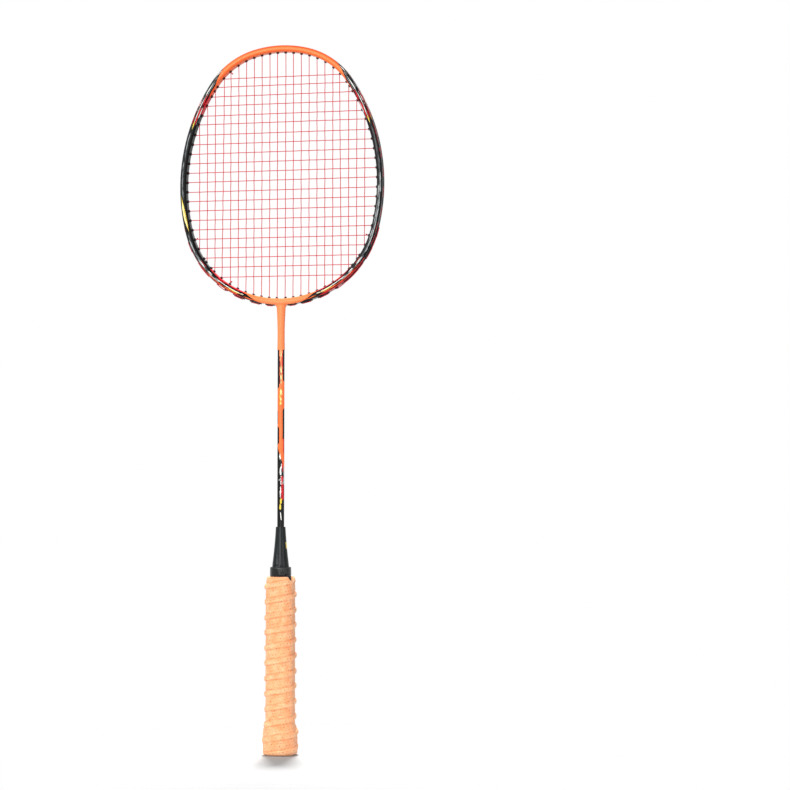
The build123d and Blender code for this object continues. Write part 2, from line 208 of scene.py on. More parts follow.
def useGroup(tree, group, **values):
    node = tree.nodes.new("ShaderNodeGroup")
    node.node_tree = group
    for label, value in values.items():
        feed(tree, node.inputs[label], value)
    return node.outputs


# the frame's outer edge, which paint and strings follow
headShape = {
    "top": 675.0 * mm,
    "radii": (105.0 * mm, 73.7 * mm, 178.8 * mm, 89.8 * mm),
    "sweeps": (15.1, 40.8, 49.1, 39.7),
}


def headArcs():
    # right half of the frame's outer edge: centre x, centre z, radius, first and last heading in radians
    x, z, heading, arcs = 0.0, headShape["top"], 0.0, []
    for radius, sweep in zip(headShape["radii"], headShape["sweeps"]):
        cx, cz = x - radius * math.sin(heading), z - radius * math.cos(heading)
        arcs.append((cx, cz, radius, heading, heading + math.radians(sweep)))
        heading += math.radians(sweep)
        x, z = cx + radius * math.sin(heading), cz + radius * math.cos(heading)
    throat = x / math.sin(heading)
    return arcs + [(0.0, z - throat * math.cos(heading), throat, heading, math.pi)]


def makeHeadPath():
    # how far along the frame a point is from the top centre, and how far inside its outer edge
    group, enter, leave = newGroup("headPath", ["Position"], ["Along", "Inset"])
    x, _, z = splitXyz(group, enter.outputs["Position"])
    x = calc(group, "ABSOLUTE", x)
    along = inset = None
    done = 0.0
    for cx, cz, radius, first, last in headArcs():
        dx, dz = calc(group, "SUBTRACT", x, cx), calc(group, "SUBTRACT", z, cz)
        heading = calc(group, "ARCTAN2", dx, dz)
        hereInset = calc(group, "SUBTRACT", radius, reachOf(group, dx, dz))
        hereAlong = calc(group, "MULTIPLY_ADD", heading, radius, done - radius * first)
        if along is None:
            along, inset = hereAlong, hereInset
        else:
            past = calc(group, "GREATER_THAN", heading, first)
            along = mixValue(group, past, along, hereAlong)
            inset = mixValue(group, past, inset, hereInset)
        done += radius * (last - first)
    group.links.new(along, leave.inputs["Along"])
    group.links.new(inset, leave.inputs["Inset"])
    return group


handlingLook = {
    "smear": (38.0, 4.0, 0.6, 0.4),  # scale, detail, roughness, distortion
    "dust": (900.0, 2.0, 0.5),
    "smearShare": 0.75,
    "dustShare": 0.25,
    "leastRough": 0.03,
    "dustHeight": 0.3,
    "bump": (0.06, 0.2 * mm),  # strength and distance on lacquer
}


def makeHandling():
    # faint smears and fine dust that a handled, glossy surface shows
    h = handlingLook
    group, enter, leave = newGroup("handling", ["Position", "Base", "Amount"], ["Roughness", "Height"])
    put = enter.outputs
    smear = grainOf(group, put["Position"], *h["smear"])
    dust = grainOf(group, put["Position"], *h["dust"])
    spread = layered(group, (dust, h["dustShare"]), (smear, h["smearShare"]))
    spread = times(group, calc(group, "SUBTRACT", spread, 0.5), put["Amount"])
    rough = calc(group, "MAXIMUM", calc(group, "ADD", put["Base"], spread), h["leastRough"])
    group.links.new(rough, leave.inputs["Roughness"])
    group.links.new(calc(group, "MULTIPLY_ADD", dust, h["dustHeight"], smear), leave.inputs["Height"])
    return group


def makeStreaks():
    # grain drawn out along the first axis, which breaks up and bends painted strokes
    group, enter, leave = newGroup("streaks", ["Along", "Across", "Depth", "Length", "Width"], ["Grain"])
    put = enter.outputs
    along = calc(group, "DIVIDE", put["Along"], put["Length"])
    across = calc(group, "DIVIDE", put["Across"], put["Width"])
    depth = calc(group, "DIVIDE", put["Depth"], put["Width"])
    place = joinXyz(group, along, across, depth)
    grain = grainOf(group, place, scale=1.0, detail=1.0, distortion=0.25)
    group.links.new(grain, leave.inputs["Grain"])
    return group


stripeLook = {
    "point": 1.2 * mm,  # a wider stroke than twice this keeps a blunt end
    "edge": (-0.06 * mm, 0.1 * mm),
}


def makeStripe():
    # one painted stroke with pointed ends, between two distances along and two across
    labels = ["Along", "Across", "Start", "End", "Near", "Far", "Lean", "Taper", "Break"]
    group, enter, leave = newGroup("stripe", labels, ["Mask"])
    put = enter.outputs
    fromStart = calc(group, "SUBTRACT", put["Along"], put["Start"])
    fromEnd = calc(group, "MINIMUM", fromStart, calc(group, "SUBTRACT", put["End"], put["Along"]))
    across = calc(group, "SUBTRACT", put["Across"], times(group, fromStart, put["Lean"]))
    fromNear = calc(group, "SUBTRACT", across, put["Near"])
    inside = calc(group, "MINIMUM", fromNear, calc(group, "SUBTRACT", put["Far"], across))
    half = times(group, calc(group, "SUBTRACT", put["Far"], put["Near"]), 0.5)
    half = calc(group, "MINIMUM", half, stripeLook["point"])
    pointed = calc(group, "MULTIPLY_ADD", fromEnd, put["Taper"], inside)
    pointed = calc(group, "SUBTRACT", pointed, half)
    depth = calc(group, "MINIMUM", calc(group, "MINIMUM", inside, pointed), fromEnd)
    depth = calc(group, "SUBTRACT", depth, put["Break"])
    group.links.new(rise(group, depth, *stripeLook["edge"]), leave.inputs["Mask"])
    return group


headPath, handling, streaks, stripe = makeHeadPath(), makeHandling(), makeStreaks(), makeStripe()
print("scene: helpers and node groups ready")


# lacquer on the head frame
frameFinish = {
    "blackFrom": 58.5 * mm,  # along the frame from the top centre, at the outer edge
    "blackTo": 338.0 * mm,
    "blackEdge": 1 * mm,
    "leanTop": 4.0,  # how far the orange runs on along the inner edge, for each unit across
    "leanThroat": 3.2,
    "leanWithin": (-3 * mm, 6 * mm),
    "wallFrom": 4.9 * mm,  # the side walls start so far in front of and behind the string bed
    "outerEdge": (0.2 * mm, 0.8 * mm),
    "innerEdge": (5.2 * mm, 5.8 * mm),
    "halfWidth": 3 * mm,
    "crown": 0.5 * mm,  # how far the front face swells
    "fleck": {"Depth": 0.0, "Length": 9 * mm, "Width": 0.9 * mm},
    "fleckMiddle": 0.44,
    "fleckReach": 5.0 * mm,
    "wander": {"Depth": 3 * mm, "Length": 30 * mm, "Width": 14 * mm},
    "sway": 1.2 * mm,
    "shadeScale": 24.0,
    "shadeTint": 0.35,
    "neck": (318 * mm, 352 * mm),  # along the frame, where the orange turns pale
    "neckTint": 0.5,
    # painted shade along the outer edge: how far in it reaches, where it ends along the frame, how strong
    "paintedRimShade": (0.6 * mm, 2.0 * mm),
    "paintedRimShadeEnd": (318 * mm, 340 * mm),
    "paintedRimShadeTint": 0.85,
    # painted highlight down the middle of the front face: from, to and soft edge inward, then how strong
    "paintedHighlight": (2.4 * mm, 4.2 * mm, 0.6 * mm),
    "paintedHighlightTint": 0.4,
    "taper": 0.09,
    "strokes": (  # side, from, to, near, far, lean, how broken, colour; side is -1 left, 1 right, 0 both
        (0, 72, 94, 4.6, 12, 0.0, 0.5, "deepOrange"),
        (0, 92, 112, 4.8, 12, 0.0, 0.7, "red"),
        (0, 64, 112, 0.95, 1.4, 0.004, 0.2, "white"),
        (0, 72, 126, 2.35, 2.9, 0.006, 0.2, "white"),
        (0, 74, 98, 3.6, 3.9, 0.016, 0.16, "silver"),
        (0, 92, 126, 3.5, 4.6, 0.0, 0.4, "red"),
        (0, 94, 127, 0.0, 0.9, 0.0, 0.35, "red"),
        (0, 104, 126, 1.3, 1.9, 0.0, 0.4, "red"),
        (0, 104, 126, 4.9, 5.4, 0.0, 0.4, "white"),
        (0, 119, 130, 2.3, 3.6, 0.0, 0.08, "yellow"),
        (0, 119, 128, -0.6, 0.6, 0.0, 0.08, "yellow"),
        (0, 68, 120, -3.2, -2.5, 0.004, 0.2, "white"),
        (0, 82, 126, -2.0, -1.0, 0.0, 0.4, "red"),
        # painted reflection: these three graphite and silver strokes along the middle of the black face
        # stand for the lamps' reflection on the lacquer
        (-1, 126, 204, 1.9, 3.3, 0.002, 0.5, "graphite"),
        (-1, 128, 196, 2.4, 2.7, 0.002, 0.3, "silver"),
        (1, 128, 180, 1.8, 3.2, 0.004, 0.5, "graphite"),
        (1, 128, 172, 0.0, 0.6, 0.0, 0.4, "red"),
        (1, 170, 268, 1.3, 3.6, 0.003, 0.7, "graphite"),
        (1, 176, 266, 1.6, 2.4, 0.004, 0.4, "silver"),
        (1, 190, 246, 3.3, 3.8, 0.004, 0.35, "silver"),
        (1, 206, 246, -2.6, 0.2, 0.0, 0.8, "graphite"),
        (1, 224, 250, -0.6, 0.4, 0.0, 0.6, "red"),
        (-1, 196, 233, 0.3, 2.7, 0.07, 0.12, "yellow"),
        (-1, 200, 229, 0.8, 2.3, 0.072, 0.06, "cream"),
        (-1, 208, 222, 2.5, 2.9, 0.075, 0.06, "black"),
        (-1, 230, 286, 1.4, 4.0, 0.003, 0.6, "graphite"),
        (-1, 236, 280, 2.2, 3.2, 0.003, 0.8, "silver"),
        (-1, 240, 346, -12, 0.8, 0.0, 0.4, "red"),
        (1, 262, 346, -12, 0.8, 0.0, 0.7, "red"),
        (0, 266, 300, 1.0, 1.7, 0.0, 0.3, "deepOrange"),
        (0, 298, 338, 1.1, 1.7, 0.0, 0.3, "orange"),
        (0, 262, 324, 2.6, 3.4, 0.002, 0.5, "white"),
        (0, 256, 292, 1.9, 2.5, 0.0, 0.7, "silver"),
        (0, 264, 300, 3.9, 4.4, 0.0, 0.3, "red"),
        (0, 276, 336, 4.7, 12, 0.0, 0.25, "red"),
        (0, 300, 322, 2.1, 3.0, 0.0, 0.3, "yellow"),
        (0, 306, 322, 2.35, 2.8, 0.0, 0.05, "cream"),
        # painted shadow: this black stroke along the outer edge and outer wall stands for the grommet
        # strip's shadow
        (0, 316, 352, -12, 0.5, 0.0, 0.15, "black"),
        (0, 250, 330, -4.4, -3.4, 0.0, 0.4, "black"),
        (0, 254, 304, -2.3, -1.4, 0.0, 0.5, "black"),
        (0, 290, 338, -3.2, -2.2, 0.0, 0.5, "black"),
    ),
}


def makeFrameLacquer():
    f = frameFinish
    material, tree, shader = newMaterial("frameLacquer", IOR=1.5, Specular_IOR_Level=0.1)
    place = objectPlace(tree)
    x, y, _ = splitXyz(tree, place)
    path = useGroup(tree, headPath, Position=place)
    along, inset = path["Along"], path["Inset"]
    right = calc(tree, "GREATER_THAN", x, 0.0)
    left = opposite(tree, right)
    # across is the inset on the face, and runs on down the tube's outer and inner walls
    wall = calc(tree, "SUBTRACT", f["wallFrom"], calc(tree, "ABSOLUTE", y))
    wall = calc(tree, "MAXIMUM", wall, 0.0)
    outside = opposite(tree, rise(tree, inset, *f["outerEdge"]))
    inward = calc(tree, "SUBTRACT", rise(tree, inset, *f["innerEdge"]), outside)
    across = calc(tree, "MULTIPLY_ADD", wall, inward, inset)
    fleck = useGroup(tree, streaks, Along=along, Across=across, **f["fleck"])
    broken = times(tree, calc(tree, "SUBTRACT", fleck["Grain"], f["fleckMiddle"]), f["fleckReach"])
    wander = useGroup(tree, streaks, Along=along, Across=across, **f["wander"])
    sway = calc(tree, "SUBTRACT", wander["Grain"], 0.5)
    drift = calc(tree, "MULTIPLY_ADD", sway, f["sway"], across)

    shade = times(tree, grainOf(tree, place, f["shadeScale"]), f["shadeTint"])
    colour = mixColour(tree, shade, paint["orange"], paint["deepOrange"])
    neck = times(tree, rise(tree, along, *f["neck"]), f["neckTint"])
    colour = mixColour(tree, neck, colour, paint["paleOrange"])
    # painted shade: a darker red-orange along the outer edge and outer wall, where the rounded tube turns
    # away from the light
    paintedRimShade = opposite(tree, rise(tree, drift, *f["paintedRimShade"]))
    paintedRimShade = times(tree, paintedRimShade, opposite(tree, rise(tree, along, *f["paintedRimShadeEnd"])), f["paintedRimShadeTint"])
    colour = mixColour(tree, paintedRimShade, colour, paint["rimShadeOrange"])
    # painted highlight: a paler orange band down the middle of the front face, where the lamps' reflection
    # runs along the tube
    paintedHighlight = times(tree, band(tree, inset, *f["paintedHighlight"]), f["paintedHighlightTint"])
    colour = mixColour(tree, paintedHighlight, colour, paint["paleOrange"])

    # the black zone starts and ends on a slant
    face = clamped(tree, drift, *f["leanWithin"])
    begin = calc(tree, "MULTIPLY_ADD", face, -f["leanTop"], along)
    finish = calc(tree, "MULTIPLY_ADD", face, f["leanThroat"], along)
    edge = f["blackEdge"]
    started = rise(tree, begin, f["blackFrom"] - edge, f["blackFrom"] + edge)
    ended = rise(tree, finish, f["blackTo"] - edge, f["blackTo"] + edge)
    blackZone = calc(tree, "MAXIMUM", calc(tree, "SUBTRACT", started, ended), 0.0)
    tone = paint["black"]
    for side, start, end, near, far, lean, rough, name in f["strokes"]:
        mask = useGroup(
            tree, stripe, Along=along, Across=drift, Start=start * mm, End=end * mm, Near=near * mm,
            Far=far * mm, Lean=lean, Taper=f["taper"], Break=times(tree, broken, rough),
        )["Mask"]
        if side:
            mask = times(tree, mask, right if side > 0 else left)
        tone = mixColour(tree, mask, tone, paint[name])
    colour = mixColour(tree, blackZone, colour, tone)

    marks = useGroup(tree, handling, Position=place, Base=0.17, Amount=0.1)
    half = f["halfWidth"]
    middle = calc(tree, "DIVIDE", calc(tree, "SUBTRACT", inset, half), half)
    middle = calc(tree, "MINIMUM", times(tree, middle, middle), 1.0)
    swell = bumpFrom(tree, times(tree, middle, -f["crown"]), 1.0, 1.0)
    normal = bumpFrom(tree, marks["Height"], *handlingLook["bump"], swell)
    linkShader(tree, shader, colour, marks["Roughness"], normal)
    return material


# lacquer on the shaft
shaftFinish = {
    "front": 15.0,  # degrees: where the painted front faces
    "degree": 0.0576 * mm,  # round the shaft
    "orangeTo": 281.0 * mm,
    "orangeEdge": 0.7 * mm,
    "orangeSlant": 3.0,
    "orangeRagged": 2.0,
    "fleck": {"Length": 5 * mm, "Width": 1.5 * mm},
    "fleckMiddle": 0.46,
    "fleckReach": 3.0 * mm,
    "shadeScale": 30.0,
    "shadeTint": 0.35,
    "top": (330 * mm, 388 * mm),  # where the orange turns pale
    "topTint": 0.5,
    "taper": 0.6,
    "strokes": (  # from, to, first and last angle from the front, how broken, colour
        (346.5, 385.4, -140, -27, 0.1, "black"), (353.1, 385.4, 29, 140, 0.1, "black"),
        (350.0, 378.0, -32, -2, 0.9, "darkRed"), (360.0, 384.0, 8, 30, 0.9, "red"),
        # the cream and pale orange strokes down the middle of the front are partly print and partly a
        # painted highlight
        (350.0, 385.0, -8, 8, 1.1, "cream"), (372.0, 384.0, -22, 0, 0.8, "paleOrange"),
        (330.5, 345.5, -20, 6, 1.1, "yellow"), (331.0, 345.0, -10, 12, 1.0, "cream"),
        (296.9, 327.5, 28, 120, 0.1, "black"), (293.0, 310.3, -120, -28, 0.1, "black"),
        (312.0, 326.0, -100, -50, 0.4, "darkRed"), (284.0, 300.0, 44, 120, 0.3, "red"),
    ),
    "lowStrokes": (  # the same on the black part
        (262.0, 286.0, -14, 16, 2.6, "white"), (266.0, 284.0, 20, 80, 0.9, "red"),
        (248.0, 262.0, -8, 18, 2.5, "white"), (240.0, 264.0, 6, 60, 0.9, "red"),
        (242.0, 250.0, -18, 2, 1.5, "white"), (254.0, 276.0, 40, 90, 1.2, "silver"),
        (236.2, 242.4, -12, 18, 0.3, "yellow"), (231.0, 237.0, -24, 4, 0.3, "yellow"),
    ),
    "dash": {
        "Start": 221.2 * mm, "End": 229 * mm, "Near": 0.1 * mm, "Far": 0.9 * mm,
        "Lean": -0.1, "Taper": 0.5, "Break": 0.0,
    },
}


def makeShaftLacquer():
    f = shaftFinish
    material, tree, shader = newMaterial("shaftLacquer", IOR=1.5, Specular_IOR_Level=0.17)
    place = objectPlace(tree)
    x, y, z = splitXyz(tree, place)
    angle = times(tree, headingOf(tree, x, y), math.degrees(1))
    angle = calc(tree, "WRAP", calc(tree, "SUBTRACT", angle, f["front"]), 180.0, -180.0)
    across = times(tree, angle, f["degree"])
    fleck = useGroup(tree, streaks, Along=z, Across=x, Depth=y, **f["fleck"])
    broken = times(tree, calc(tree, "SUBTRACT", fleck["Grain"], f["fleckMiddle"]), f["fleckReach"])

    def addStrokes(base, strokes):
        for low, high, first, last, rough, name in strokes:
            mask = useGroup(
                tree, stripe, Along=z, Across=across, Start=low * mm, End=high * mm,
                Near=first * f["degree"], Far=last * f["degree"], Lean=0.0, Taper=f["taper"],
                Break=times(tree, broken, rough),
            )["Mask"]
            base = mixColour(tree, mask, base, paint[name])
        return base

    shade = times(tree, grainOf(tree, place, f["shadeScale"]), f["shadeTint"])
    colour = mixColour(tree, shade, paint["orange"], paint["deepOrange"])
    top = times(tree, rise(tree, z, *f["top"]), f["topTint"])
    colour = mixColour(tree, top, colour, paint["paleOrange"])
    colour = addStrokes(colour, f["strokes"])
    lowTone = addStrokes(paint["black"], f["lowStrokes"])
    dash = useGroup(tree, stripe, Along=z, Across=across, **f["dash"])["Mask"]
    lowTone = mixColour(tree, dash, lowTone, paint["white"])
    # the orange ends on a ragged slant
    slanted = calc(tree, "MULTIPLY_ADD", broken, f["orangeRagged"], z)
    slanted = calc(tree, "MULTIPLY_ADD", across, f["orangeSlant"], slanted)
    edge = f["orangeEdge"]
    below = opposite(tree, rise(tree, slanted, f["orangeTo"] - edge, f["orangeTo"] + edge))
    colour = mixColour(tree, below, colour, lowTone)
    marks = useGroup(tree, handling, Position=place, Base=0.22, Amount=0.12)
    normal = bumpFrom(tree, marks["Height"], *handlingLook["bump"])
    linkShader(tree, shader, colour, marks["Roughness"], normal)
    return material


# mouldings, tape, strings and hidden pieces
plainFinishes = {  # two close tones, roughness, how it varies, bump, scale of the tones, constants
    "stringRed": (rgb(184, 2, 34), rgb(204, 12, 50), 0.3, 0.1, 0.04, 60.0, {"Specular_IOR_Level": 0.15}),
    "grommetBlack": (rgb(12, 12, 13), rgb(24, 25, 26), 0.42, 0.12, 0.08, 60.0, {"Specular_IOR_Level": 0.2}),
    "capBlack": (rgb(26, 26, 27), rgb(38, 38, 39), 0.5, 0.1, 0.12, 60.0, {}),
    "paleWood": (rgb(206, 168, 118), rgb(184, 140, 92), 0.65, 0.1, 0.25, 200.0, {}),
    "stapleSteel": (rgb(176, 177, 180), rgb(150, 151, 154), 0.3, 0.12, 0.05, 60.0, {"Metallic": 1.0}),
    "bareAlloy": (rgb(172, 174, 178), rgb(150, 152, 156), 0.42, 0.12, 0.05, 60.0, {"Metallic": 1.0}),
}


def makePlain(name):
    # one moulded or drawn finish: two close tones, handling marks and a fine surface
    tone, otherTone, rough, amount, bump, scale, constants = plainFinishes[name]
    material, tree, shader = newMaterial(name, **constants)
    place = objectPlace(tree)
    marks = useGroup(tree, handling, Position=place, Base=rough, Amount=amount)
    colour = mixColour(tree, grainOf(tree, place, scale, detail=3.0), tone, otherTone)
    normal = bumpFrom(tree, marks["Height"], bump, handlingLook["bump"][1])
    linkShader(tree, shader, colour, marks["Roughness"], normal)
    return material


coneFinish = {
    "tones": (rgb(10, 13, 14), rgb(26, 32, 34)),
    "toneScale": 70.0,
    "fleckUp": (194.5 * mm, 200.5 * mm, 0.4 * mm),  # a plain yellow mark: from, to, half its soft edge
    "fleckRound": (72.0, 100.0, 2.0),  # degrees from the front
    "flow": (0.05, 60.0),  # scales round and up
    "folds": (0.03, 420.0),
    "foldsEnd": (177 * mm, 189 * mm),
    "flowHeight": 1.2,
    "foldsHeight": 2.4,
    "marksHeight": 0.2,
    "bump": (0.5, 0.35 * mm),  # strength and distance
}


def makeConeGloss():
    f = coneFinish
    material, tree, shader = newMaterial("coneGloss", IOR=1.5, Specular_IOR_Level=0.17)
    place = objectPlace(tree)
    x, y, z = splitXyz(tree, place)
    angle = times(tree, headingOf(tree, x, y), math.degrees(1))
    marks = useGroup(tree, handling, Position=place, Base=0.2, Amount=0.16)
    colour = mixColour(tree, grainOf(tree, place, f["toneScale"], detail=3.0), *f["tones"])
    fleck = times(tree, band(tree, z, *f["fleckUp"]), band(tree, angle, *f["fleckRound"]))
    colour = mixColour(tree, fleck, colour, paint["yellow"])
    # shallow flow marks up the moulding, and folds at its foot
    flow = grainOf(tree, stretched(tree, angle, z, f["flow"]), scale=1.0)
    folds = grainOf(tree, stretched(tree, angle, z, f["folds"]), scale=1.0, distortion=0.8)
    folds = times(tree, opposite(tree, rise(tree, z, *f["foldsEnd"])), folds)
    height = layered(
        tree, (marks["Height"], f["marksHeight"]), (folds, f["foldsHeight"]), (flow, f["flowHeight"])
    )
    linkShader(tree, shader, colour, marks["Roughness"], bumpFrom(tree, height, *f["bump"]))
    return material


tapeFinish = {
    "tones": (rgb(6, 7, 8), rgb(18, 20, 21)),
    "toneScale": 90.0,
    "pucker": (6.0, 70.0),  # scales round and up
    "puckerHeight": 2.2,
    "marksHeight": 0.3,
    "bump": (0.5, 0.5 * mm),
}


def makeTapeGloss():
    f = tapeFinish
    material, tree, shader = newMaterial("tapeBlack", IOR=1.5, Specular_IOR_Level=0.3)
    place = objectPlace(tree)
    x, y, z = splitXyz(tree, place)
    marks = useGroup(tree, handling, Position=place, Base=0.14, Amount=0.16)
    colour = mixColour(tree, grainOf(tree, place, f["toneScale"], detail=3.0), *f["tones"])
    # stretched tape puckers up and down, closely round the handle
    pucker = stretched(tree, headingOf(tree, x, y), z, f["pucker"])
    pucker = grainOf(tree, pucker, scale=1.0, detail=3.0, distortion=0.6)
    height = layered(tree, (marks["Height"], f["marksHeight"]), (pucker, f["puckerHeight"]))
    linkShader(tree, shader, colour, marks["Roughness"], bumpFrom(tree, height, *f["bump"]))
    return material


# wound grip: its shape, then its finish
gripSize = {
    "pitch": 14.4 * mm,  # one turn of the strip
    "start": -1.2 * mm,  # height of the first overlap at the front
    "halfWidth": 11.8 * mm,
    "halfDepth": 10.8 * mm,
    "cornerReach": 12.78 * mm,
    "roundness": 18.0,
    "foot": 0.35 * mm,
    "footRound": 2.6 * mm,
    "footSteps": 8,
    "top": 168.0 * mm,
    "lipHeight": 1.0 * mm,
    "lipIn": 0.9 * mm,
    "lipSteps": 4,
    "butt": (3.85 * mm, 22.0 * mm, 31.0 * mm),  # cover over the butt cap, end of it, end of the slope
    "cover": 1.45 * mm,
    "taperStart": 156.0 * mm,
    "topCover": 0.2 * mm,
    "keel": 1.25 * mm,
    "keelCentre": 0.27,  # shares of a turn
    "keelHalf": 0.2,
    "keelPowers": (2.4, 0.8),  # how round its top is, how steep its sides
    "crease": 0.28 * mm,
    "creaseAt": 1.08,  # shares of keelHalf
    "creaseWidth": 0.24,
    "lap": 0.4 * mm,
    "lapWidth": 0.06,
    "unevenTurn": (0.06, 1.3, 55),  # amount, scale round, scale up
    "unevenKeel": (0.35, 2.2, 80),
    "pucker": (0.16 * mm, 5, 420),
    "footFade": 4 * mm,
    "topFade": 12 * mm,
    "topLoss": 0.5,  # how much of the relief is pressed flat under the tape
    "buttFade": 3 * mm,
    "buttLoss": 0.45,
    "turnSteps": 128,
    "rise": 0.45 * mm,
    "skins": (60 * mm, 30 * mm),  # stand-in radii that say which skin a ring belongs to
    "inner": (  # cover and height along the inner skin
        (-2.3, 168.0), (-2.3, 167.4), (0.05, 151.6), (0.05, 21.4), (2.25, 14.8), (2.25, 1.5),
    ),
}
gripFinish = {
    "cells": 30.0,  # punched holes in a turn
    "rows": 5.0,
    "shift": 0.37,  # from one turn to the next
    "cellSize": (2.8, 2.9),  # round and up
    "holeEdge": (0.28, 0.5),
    "holeChance": (0.2, 0.9),
    "faintest": 0.2,
    "wind": (16.0, 13.0),  # scales round and up
    "wrinkle": (1.0, 4.0, 0.62, 0.8),
    "fineWrinkle": (3.2, 3.0, 0.6, 0.5),
    "mottle": (180.0, 3.0, 0.5),
    "mottleEdge": (0.22, 0.78),
    "fine": (1500.0, 3.0, 0.65),
    "tones": (rgb(252, 168, 114), rgb(255, 202, 154)),
    # painted shade in the fine wrinkles: its tone, where it starts, how strong
    "wrinkleShadeTone": rgb(240, 136, 80),
    "wrinkleShadeEdge": (0.48, 0.62),
    "wrinkleShadeTint": 0.7,
    # painted shade in the creases at both sides of the keel: its tone, where it lies, how wide, how patchy,
    # how strong
    "creaseShadeTone": rgb(238, 134, 78),
    "creaseAt": 1.02,  # shares of keelHalf
    "creaseWidth": 0.42,
    "creaseShadeEdge": (0.4, 0.6),
    "creaseShadeTint": 0.6,
    # painted highlight on top of the keel: its tone, how wide, how strong
    "keelHighlightTone": rgb(255, 208, 160),
    "keelHighlightWidth": 0.7,
    "keelHighlightTint": 0.3,
    # painted shade inside the punched holes
    "holeShadeTone": rgb(168, 92, 44),
    "fineHeight": 0.3,
    "wrinkleHeight": 1.6,
    "fineWrinkleHeight": 0.8,
    "bump": (0.9, 0.6 * mm),
    "roughFrom": 0.5,
    "roughRange": 0.15,
}


def makeGripFoam():
    f, g = gripFinish, gripSize
    material, tree, shader = newMaterial(
        "gripFoam", IOR=1.45, Subsurface_Weight=0.15, Subsurface_Scale=0.002, Specular_IOR_Level=0.35,
        Sheen_Weight=0.15, Sheen_Roughness=0.5, Subsurface_Radius=(1.0, 0.4, 0.2),
    )
    place = objectPlace(tree)
    x, y, z = splitXyz(tree, place)
    turn = times(tree, headingOf(tree, x, y), 0.5 / math.pi)
    climb = calc(tree, "DIVIDE", calc(tree, "SUBTRACT", z, g["start"]), g["pitch"])
    strip = calc(tree, "SUBTRACT", climb, turn)
    share, lapNumber = calc(tree, "FRACT", strip), calc(tree, "FLOOR", strip)

    # staggered rows of small punched holes, plainer in some places than in others
    rows = times(tree, share, f["rows"])
    row = calc(tree, "FLOOR", rows)
    cells = times(tree, calc(tree, "MULTIPLY_ADD", lapNumber, f["shift"], turn), f["cells"])
    cells = calc(tree, "MULTIPLY_ADD", row, 0.5, cells)
    dx = times(tree, calc(tree, "SUBTRACT", calc(tree, "FRACT", cells), 0.5), f["cellSize"][0])
    dz = times(tree, calc(tree, "SUBTRACT", calc(tree, "FRACT", rows), 0.5), f["cellSize"][1])
    chance = tree.nodes.new("ShaderNodeTexWhiteNoise")
    tree.links.new(joinXyz(tree, calc(tree, "FLOOR", cells), row, lapNumber), chance.inputs["Vector"])
    shown = rise(tree, chance.outputs["Value"], *f["holeChance"])
    shown = calc(tree, "MULTIPLY_ADD", shown, 1 - f["faintest"], f["faintest"])
    hole = times(tree, opposite(tree, rise(tree, reachOf(tree, dx, dz), *f["holeEdge"])), shown)

    # small creases that follow the strip, and a soft mottle under them
    wind = stretched(tree, turn, strip, f["wind"], lapNumber)
    wrinkle, fineWrinkle = grainOf(tree, wind, *f["wrinkle"]), grainOf(tree, wind, *f["fineWrinkle"])
    mottle = rise(tree, grainOf(tree, place, *f["mottle"]), *f["mottleEdge"])
    colour = mixColour(tree, mottle, *f["tones"])
    # painted shade: a darker orange laid along the fine wrinkles
    wrinkleShade = times(tree, rise(tree, fineWrinkle, *f["wrinkleShadeEdge"]), f["wrinkleShadeTint"])
    colour = mixColour(tree, wrinkleShade, colour, f["wrinkleShadeTone"])

    # painted shade along both sides of the keel and a painted highlight on top of it
    sideways = calc(tree, "DIVIDE", calc(tree, "SUBTRACT", share, g["keelCentre"]), g["keelHalf"])
    sideways = calc(tree, "ABSOLUTE", sideways)
    away = calc(tree, "ABSOLUTE", calc(tree, "SUBTRACT", sideways, f["creaseAt"]))
    creaseShade = opposite(tree, rise(tree, away, 0.0, f["creaseWidth"]))
    creaseShade = times(tree, creaseShade, rise(tree, wrinkle, *f["creaseShadeEdge"]), f["creaseShadeTint"])
    colour = mixColour(tree, creaseShade, colour, f["creaseShadeTone"])
    # painted highlight: paler along the top of the keel
    keelHighlight = times(tree, opposite(tree, rise(tree, sideways, 0.0, f["keelHighlightWidth"])), f["keelHighlightTint"])
    colour = mixColour(tree, keelHighlight, colour, f["keelHighlightTone"])
    # painted shade: the punched holes are darker brown for the shade inside them, and the bump sinks them
    # too
    colour = mixColour(tree, hole, colour, f["holeShadeTone"])

    fine = grainOf(tree, place, *f["fine"])
    height = layered(
        tree, (fineWrinkle, f["fineWrinkleHeight"]), (wrinkle, f["wrinkleHeight"]), (fine, f["fineHeight"])
    )
    height = calc(tree, "SUBTRACT", height, hole)
    roughness = calc(tree, "MULTIPLY_ADD", fine, f["roughRange"], f["roughFrom"])
    linkShader(tree, shader, colour, roughness, bumpFrom(tree, height, *f["bump"]))
    return material


materials = {
    "frameLacquer": makeFrameLacquer(),
    "shaftLacquer": makeShaftLacquer(),
    "coneGloss": makeConeGloss(),
    "gripFoam": makeGripFoam(),
    "tapeBlack": makeTapeGloss(),
}
for finish in plainFinishes:
    materials[finish] = makePlain(finish)
finishOf = {
    "head_frame": "frameLacquer", "shaft": "shaftLacquer", "cone_cap": "coneGloss", "butt_cap": "capBlack",
    "handle_core": "paleWood", "butt_staples": "stapleSteel", "t_joint": "bareAlloy",
}
for name, node in nodes.items():
    finish = "grommetBlack" if "grommet" in name else finishOf.get(name)
    if finish:
        node.data.materials.clear()
        node.data.materials.append(materials[finish])
print("scene: finishes on the CAD pieces")


